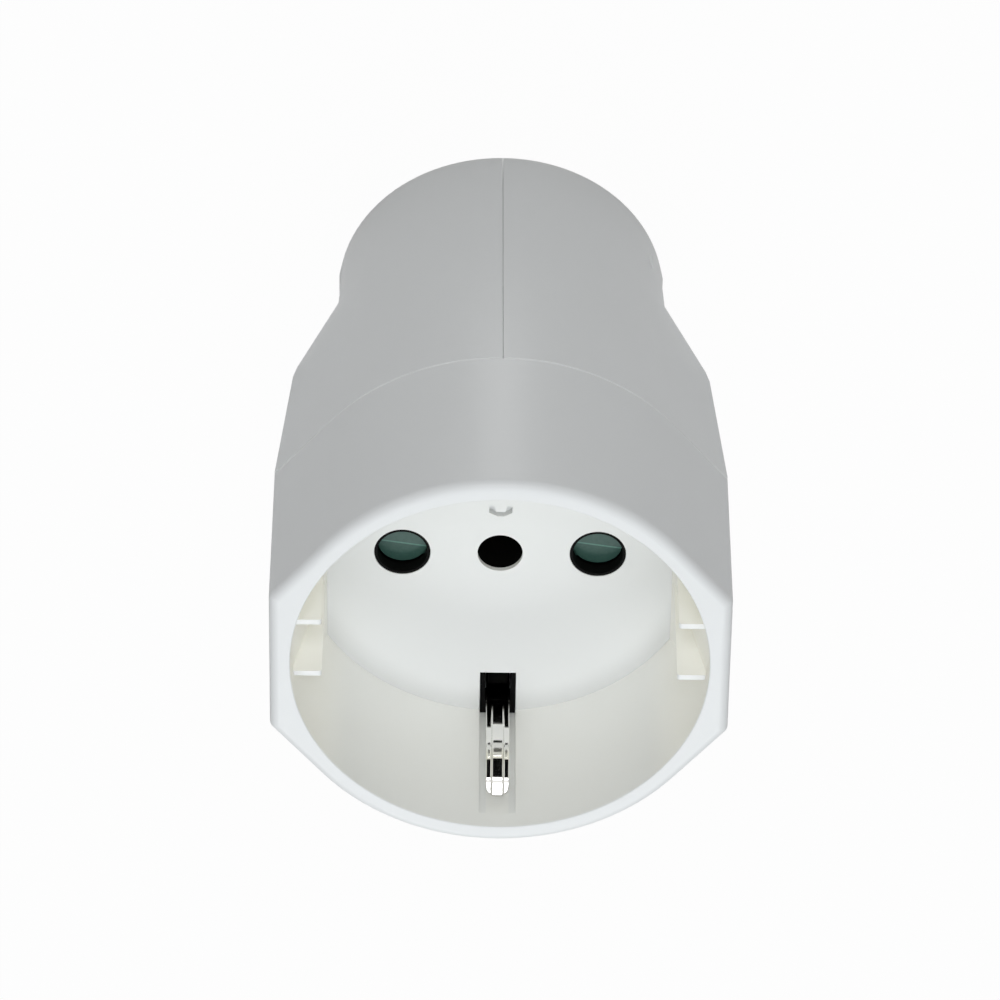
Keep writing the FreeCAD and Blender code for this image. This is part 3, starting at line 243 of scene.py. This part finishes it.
def effectGroup(name, given, results):
    # An empty node group with named sockets, and two helpers that add to it.
    group = bpy.data.node_groups.new(name, "ShaderNodeTree")
    kinds = {"Vector": "NodeSocketVector", "Colour": "NodeSocketColor"}
    for label, value in given.items():
        kind = kinds.get(label, "NodeSocketFloat")
        made = group.interface.new_socket(label, in_out="INPUT", socket_type=kind)
        if kind == "NodeSocketFloat":
            made.default_value = value
    for label in results:
        group.interface.new_socket(label, in_out="OUTPUT", socket_type=kinds.get(label, "NodeSocketFloat"))
    source, out = group.nodes.new("NodeGroupInput"), group.nodes.new("NodeGroupOutput")

    def calc(operation, *values):
        return mathNode(group, operation, *values)

    def ramp(value, ends):
        node = group.nodes.new("ShaderNodeMapRange")
        node.interpolation_type = "SMOOTHSTEP"
        node.inputs["From Min"].default_value, node.inputs["From Max"].default_value = ends
        group.links.new(value, node.inputs["Value"])
        return node.outputs["Result"]

    place = group.nodes.new("ShaderNodeSeparateXYZ")
    group.links.new(source.outputs["Vector"], place.inputs[0])
    return group, source.outputs, out.inputs, place.outputs, calc, ramp


def scaledColour(group, colour, factor):
    mix = group.nodes.new("ShaderNodeVectorMath")
    mix.operation = "SCALE"
    group.links.new(colour, mix.inputs[0])
    group.links.new(factor, mix.inputs["Scale"])
    return mix.outputs[0]


# Painted light on the white cup: a painted glow on the recess walls stands in for light that the thin cup lets
# through, painted shade darkens the edge of its floor, and a painted highlight pales the edges at the seam.
cupLight = {
    "given": {"Vector": 0, "Colour": 0, "Glow": 0.034, "Shade": 0.12, "Edge": 0.07},
    "radius": 0.0206,  # metres; the whole recess is nearer to the axis
    "floor": 0.0437,
    "floorTop": 0.04374,  # a little above the floor, where the walls begin to glow
    "mouth": 0.06122,
    "facingUp": (0.3, 0.7),  # between these a face turns from wall to floor
    "sideGlow": ((0.0140, 0.0180), 2.0),  # from where to where, and how much more than elsewhere
    "backGlow": ((0.0120, 0.0180), 5.0),
    "corner": ((0.0168, 0.0198), (0.0, 0.012)),  # by radius and by y
    "seam": 0.04087,
    "seamEdge": (0.0001, 0.0004),
}


def recessGroup(cup):
    group, given, out, (x, y, z), calc, ramp = effectGroup("cupLight", cup["given"], ("Colour", "Glow"))
    radius = calc("SQRT", calc("ADD", calc("MULTIPLY", x, x), calc("MULTIPLY", y, y)))
    facing = group.nodes.new("ShaderNodeNewGeometry")
    normal = group.nodes.new("ShaderNodeSeparateXYZ")
    group.links.new(facing.outputs["True Normal"], normal.inputs[0])
    steep = calc("SUBTRACT", 1.0, ramp(normal.outputs["Z"], cup["facingUp"]))
    # Painted glow: an emission on the steep walls of the recess, between its floor and its mouth, stronger towards
    # the sides and the back.
    within = calc("MULTIPLY", calc("LESS_THAN", radius, cup["radius"]), steep)
    above = calc("MULTIPLY", calc("GREATER_THAN", z, cup["floorTop"]), calc("LESS_THAN", z, cup["mouth"]))
    (sideEnds, sideGain), (backEnds, backGain) = cup["sideGlow"], cup["backGlow"]
    sides = calc("MULTIPLY", ramp(calc("ABSOLUTE", x), sideEnds), sideGain)
    back = calc("MULTIPLY", ramp(calc("MULTIPLY", y, -1.0), backEnds), backGain)
    share = calc("MULTIPLY", calc("MULTIPLY", within, above), calc("ADD", calc("ADD", sides, back), 1.0))
    group.links.new(calc("MULTIPLY", share, given["Glow"]), out["Glow"])
    # Painted shade: the floor's colour is darkened near its edge, on the +y side only.
    onFloor = calc("MULTIPLY", calc("LESS_THAN", z, cup["floorTop"]), calc("GREATER_THAN", z, cup["floor"]))
    corner = calc("MULTIPLY", ramp(radius, cup["corner"][0]), ramp(y, cup["corner"][1]))
    shade = calc("MULTIPLY", calc("MULTIPLY", corner, onFloor), given["Shade"])
    # Painted highlight: the colour is made paler in a narrow band along the seam between collar and shells.
    distance = calc("ABSOLUTE", calc("SUBTRACT", z, cup["seam"]))
    paintedSeam = calc("MULTIPLY", calc("SUBTRACT", 1.0, ramp(distance, cup["seamEdge"])), given["Edge"])
    factor = calc("ADD", calc("SUBTRACT", 1.0, shade), paintedSeam)
    group.links.new(scaledColour(group, given["Colour"], factor), out["Colour"])
    return group


# Painted highlight: a pale line along the ridge of each pad, where the ridge catches the light; both ridges lean the
# same way.
padRidgeHighlight = {
    "given": {"Vector": 0, "Colour": 0, "Reach": 0.0095, "Slope": -0.1548, "Gain": 1.3},
    "line": (0.00003, 0.00012),  # full inside the first distance, gone beyond the second
}


def padGroup(pad):
    group, given, out, (x, y, z), calc, ramp = effectGroup("padRidgeHighlight", pad["given"], ("Colour",))
    across = calc("SUBTRACT", x, calc("MULTIPLY", calc("SIGN", x), given["Reach"]))
    distance = calc("ABSOLUTE", calc("SUBTRACT", y, calc("MULTIPLY", across, given["Slope"])))
    # Painted highlight: the pad's colour is brightened along the ridge line.
    line = calc("SUBTRACT", 1.0, ramp(distance, pad["line"]))
    factor = calc("ADD", 1.0, calc("MULTIPLY", line, given["Gain"]))
    group.links.new(scaledColour(group, given["Colour"], factor), out["Colour"])
    return group


# Painted shade: the strip is darkened where it runs inside the housing, out of the light, and keeps its full colour
# where it comes up into the recess.
stripPaintedShade = {"shadedShare": 0.04, "bright": 0.96, "from": (0.0425, 0.0445)}


def stripGroup(stripShade):
    group, given, out, (x, y, z), calc, ramp = effectGroup("stripPaintedShade", {"Vector": 0, "Colour": 0}, ("Colour",))
    # Painted shade: below the recess floor the strip's colour falls to a few hundredths.
    factor = calc("ADD", stripShade["shadedShare"], calc("MULTIPLY", ramp(z, stripShade["from"]), stripShade["bright"]))
    group.links.new(scaledColour(group, given["Colour"], factor), out["Colour"])
    return group


grain = grainGroup()
effects = {"cup": recessGroup(cupLight), "pads": padGroup(padRidgeHighlight), "strip": stripGroup(stripPaintedShade)}
plainMottle, plainGloss = 90.0, 0.5  # for a finish that names none
bumpDistance = 0.00002

finishes = {
    "white_moulding": {"colour": (0.872, 0.882, 0.878), "second": (0.852, 0.862, 0.858), "rough": 0.44,
                       "scale": (900, 900, 900), "depth": 0.12,
                       "effect": "cup", "paintedGlowColour": (1.0, 0.90, 0.56)},
    # Near black with hardly any gloss, darker than black plastic: the parts behind the floor and the slots take it,
    # partly their own colour and partly painted shade in there.
    "black_moulding": {"colour": (0.004, 0.004, 0.004), "second": (0.006, 0.006, 0.006), "rough": 0.6,
                       "gloss": 0.05, "scale": (900, 900, 900), "depth": 0.1},
    "green_moulding": {"colour": (0.026, 0.086, 0.068), "second": (0.058, 0.128, 0.104), "rough": 0.42,
                       "scale": (2600, 2600, 2600), "depth": 1.0,
                       "mottle": 3000.0, "effect": "pads"},
    "contact_brass": {"colour": (0.80, 0.60, 0.30), "second": (0.74, 0.54, 0.26), "metal": True, "rough": 0.24,
                      "scale": (1500, 1500, 150), "depth": 0.15},
    "plated_strip": {"colour": (0.86, 0.85, 0.82), "second": (0.80, 0.79, 0.76), "metal": True, "rough": 0.09,
                     "scale": (1500, 1500, 200), "depth": 0.10, "effect": "strip"},
    "spring_steel": {"colour": (0.56, 0.56, 0.55), "second": (0.50, 0.50, 0.49), "metal": True, "rough": 0.22,
                     "scale": (1200, 1200, 1200), "depth": 0.1},
    "screw_steel": {"colour": (0.66, 0.66, 0.65), "second": (0.58, 0.58, 0.56), "metal": True, "rough": 0.3,
                    "scale": (1200, 1200, 1200), "depth": 0.2},
}


def makeFinish(name, look):
    material = bpy.data.materials.new(name)
    material.use_nodes = True
    nodes, links = material.node_tree.nodes, material.node_tree.links
    shader = nodes["Principled BSDF"]
    shader.inputs["Metallic"].default_value = 1.0 if look.get("metal") else 0.0
    shader.inputs["Specular IOR Level"].default_value = look.get("gloss", plainGloss)
    place = nodes.new("ShaderNodeTexCoord")
    stretch = nodes.new("ShaderNodeMapping")
    stretch.inputs["Scale"].default_value = look["scale"]
    links.new(place.outputs["Object"], stretch.inputs["Vector"])
    surface = nodes.new("ShaderNodeGroup")
    surface.node_tree = grain
    surface.inputs["Scale"].default_value = 1.0
    surface.inputs["Middle"].default_value = look["rough"]
    surface.inputs["Depth"].default_value = look["depth"]
    links.new(stretch.outputs["Vector"], surface.inputs["Vector"])
    links.new(surface.outputs["Roughness"], shader.inputs["Roughness"])
    tone = nodes.new("ShaderNodeTexNoise")
    tone.inputs["Scale"].default_value = look.get("mottle", plainMottle)
    links.new(place.outputs["Object"], tone.inputs["Vector"])
    blend = nodes.new("ShaderNodeMix")
    blend.data_type = "RGBA"
    blend.inputs["A"].default_value = (*look["colour"], 1)
    blend.inputs["B"].default_value = (*look["second"], 1)
    links.new(tone.outputs["Fac"], blend.inputs["Factor"])
    colour = blend.outputs["Result"]
    if "effect" in look:
        effect = nodes.new("ShaderNodeGroup")
        effect.node_tree = effects[look["effect"]]
        links.new(place.outputs["Object"], effect.inputs["Vector"])
        links.new(colour, effect.inputs["Colour"])
        colour = effect.outputs["Colour"]
        # The cup's painted glow shines in this colour.
        if "paintedGlowColour" in look:
            shader.inputs["Emission Color"].default_value = (*look["paintedGlowColour"], 1)
            links.new(effect.outputs["Glow"], shader.inputs["Emission Strength"])
    links.new(colour, shader.inputs["Base Color"])
    bump = nodes.new("ShaderNodeBump")
    bump.inputs["Distance"].default_value = bumpDistance
    links.new(surface.outputs["Height"], bump.inputs["Height"])
    links.new(bump.outputs["Normal"], shader.inputs["Normal"])
    return material


materials = {name: makeFinish(name, look) for name, look in finishes.items()}
slots = {row["node"]: row["material_slot"] for row in frame["record"]["subparts"]}
for name, node in frame["nodes"].items():
    for at in range(len(node.material_slots)):
        node.material_slots[at].material = materials[slots[name]]
print("finishes given")

# Earth strap: one swept strip from tip to tip, with bent corners, rounded edges and a pressed rib.
strapPiece = {
    # the middle line of one half in the plane X = 0, as y, z and bend radius, from the bridge to the tip
    "route": [(0.0, 21.5, 0.0), (16.0, 21.5, 1.0), (16.0, 37.1, 1.2), (18.5, 41.5, 1.2), (18.5, 44.33, 0.9),
              (16.39, 51.9, 6.0), (17.17, 54.33, 1.8), (18.38, 56.1, 0.8), (19.68, 56.62, 0.0)],
    "bridgeEnd": 15.3,  # where the wide bridge narrows to the clip, along the route
    "bridge": (2.5, 0.4),  # half width, half thickness
    "clip": (1.15, 0.3),
    "tip": (0.95, 0.55),  # half width at the end, corner radius
    "tipLength": 1.2,
    "tipCurve": 1.5,  # the power with which the sides draw in
    "edge": 0.10,
    "rib": (0.56, 0.14, 0.3),  # half width of its crown, flank, height
    "ribStart": 39.5,  # where the rib begins, along the route
    "ribFade": 1.0,
    # how finely it is cut: places along each half, more of them near the tip, and points round the section
    "steps": 240,
    "tipSteps": (0.004, 2.0, 40),
    "stepDown": 0.01,  # half the length of the change from bridge to clip
    "reading": 0.05,  # how far before and behind a place its direction is read
    "arcPoints": 9,
    "columns": ((-1, -0.6, 5), (-0.58, 0.58, 25), (0.6, 1, 5)),  # over the flat, the rib and the flat
    "edgePoints": 5,
}


def easedShare(share):
    return share * share * (3 - 2 * share)


def bentRoute(corners, arcPoints):
    # Straight stretches joined by arcs that touch both; every arc is cut into short chords.
    points = np.array([corner[:2] for corner in corners])
    line = [points[:1]]
    for before, here, after, (y, z, radius) in zip(points, points[1:], points[2:], corners[1:]):
        first = (here - before) / np.linalg.norm(here - before)
        last = (after - here) / np.linalg.norm(after - here)
        turn = np.arccos(np.clip(first @ last, -1, 1))
        reach = radius * np.tan(turn / 2)
        side = np.sign(first[0] * last[1] - first[1] * last[0])
        centre = here - first * reach + radius * side * np.array([-first[1], first[0]])
        angles = side * np.linspace(0, turn, arcPoints)[:, None]
        spoke = here - first * reach - centre
        line.append(centre + np.cos(angles) * spoke + np.sin(angles) * np.array([-spoke[1], spoke[0]]))
    line.append(points[-1:])
    return np.concatenate(line)


def sweptStrap(piece):
    # The section is a flat bar with rounded edges; it is carried along the route, and width, thickness and
    # rib are functions of the distance from the middle of the bridge.
    half = bentRoute(piece["route"], piece["arcPoints"])
    line = np.concatenate([half[:0:-1] * [-1, 1], half])
    run = np.concatenate([[0], np.cumsum(np.linalg.norm(np.diff(line, axis=0), axis=1))])
    middle = run[-1] / 2
    spread = np.linspace(0, middle, piece["steps"])
    fine = middle - np.geomspace(*piece["tipSteps"])
    down = [piece["bridgeEnd"] - piece["stepDown"], piece["bridgeEnd"] + piece["stepDown"]]
    along = np.unique(np.concatenate([spread, fine, down]))
    along = np.concatenate([-along[:0:-1], along])
    reach = np.abs(along)
    y, z = (np.interp(middle + along, run, line[:, axis]) for axis in (0, 1))
    forth = np.stack([np.interp(middle + along + piece["reading"], run, line[:, axis])
                      - np.interp(middle + along - piece["reading"], run, line[:, axis]) for axis in (0, 1)], axis=1)
    forth /= np.linalg.norm(forth, axis=1)[:, None]
    inward = np.stack([-forth[:, 1], forth[:, 0]], axis=1)

    onBridge = reach < piece["bridgeEnd"]
    wide = np.where(onBridge, piece["bridge"][0], piece["clip"][0])
    thick = np.where(onBridge, piece["bridge"][1], piece["clip"][1])
    end, corner = piece["tip"]
    left = middle - reach
    taper = np.clip(1 - left / piece["tipLength"], 0, 1)
    wide = wide - (piece["clip"][0] - end) * taper ** piece["tipCurve"]
    nose = np.clip(1 - left / corner, 0, 1)
    wide = wide - corner * (1 - np.sqrt(1 - nose ** 2))
    thick = thick - piece["edge"] * (1 - np.sqrt(1 - np.clip(1 - left / piece["edge"], 0, 1) ** 2))

    # One round of the section: over the inner face, round an edge, back over the outer face.
    across = np.concatenate([np.linspace(*columns) for columns in piece["columns"]])
    quarter = np.linspace(0, np.pi / 2, piece["edgePoints"])[1:]
    flat = wide[:, None] - piece["edge"]
    inner = flat * across
    rightX = flat + piece["edge"] * np.sin(quarter)
    rightH = thick[:, None] - piece["edge"] * (1 - np.cos(quarter))
    width = np.concatenate([inner, rightX, rightX[:, ::-1], inner[:, ::-1], -rightX, -rightX[:, ::-1]], axis=1)
    face = np.repeat(thick[:, None], len(across), axis=1)
    height = np.concatenate([face, rightH, -rightH[:, ::-1], -face, -rightH, rightH[:, ::-1]], axis=1)
    crown, flank, depth = piece["rib"]
    press = easedShare(np.clip((crown + flank / 2 - np.abs(width)) / flank, 0, 1))
    begun = easedShare(np.clip((reach - piece["ribStart"]) / piece["ribFade"], 0, 1))
    height = height + depth * press * begun[:, None]

    verts = np.stack([width, y[:, None] + inward[:, :1] * height, z[:, None] + inward[:, 1:] * height], axis=2)
    rows, columns = width.shape
    index = np.arange(rows * columns).reshape(rows, columns)
    turned = np.roll(index, -1, axis=1)
    quads = np.stack([index[:-1], turned[:-1], turned[1:], index[1:]], axis=2).reshape(-1, 4)
    pairs = len(across) + 2 * len(quarter)
    ring = np.roll(np.arange(columns), len(quarter))
    top, base = ring[:pairs], ring[:pairs - 1:-1]
    caps = [np.stack([row[top[:-1]], row[top[1:]], row[base[1:]], row[base[:-1]]], axis=1)[:, ::way]
            for row, way in ((index[0], -1), (index[-1], 1))]
    return verts.reshape(-1, 3) / 1000, np.concatenate([quads] + caps)


def gridObject(name, verts, faces, material):
    mesh = bpy.data.meshes.new(name)
    mesh.from_pydata(verts.tolist(), [], faces.tolist())
    mesh.validate()
    mesh.shade_smooth()
    mesh.materials.append(material)
    return linked(bpy.data.objects.new(name, mesh))


strap = gridObject("earthStrapStrip", *sweptStrap(strapPiece), materials["plated_strip"])
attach(strap, "housing")
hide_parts("earth_strap")
print("earth strap made")
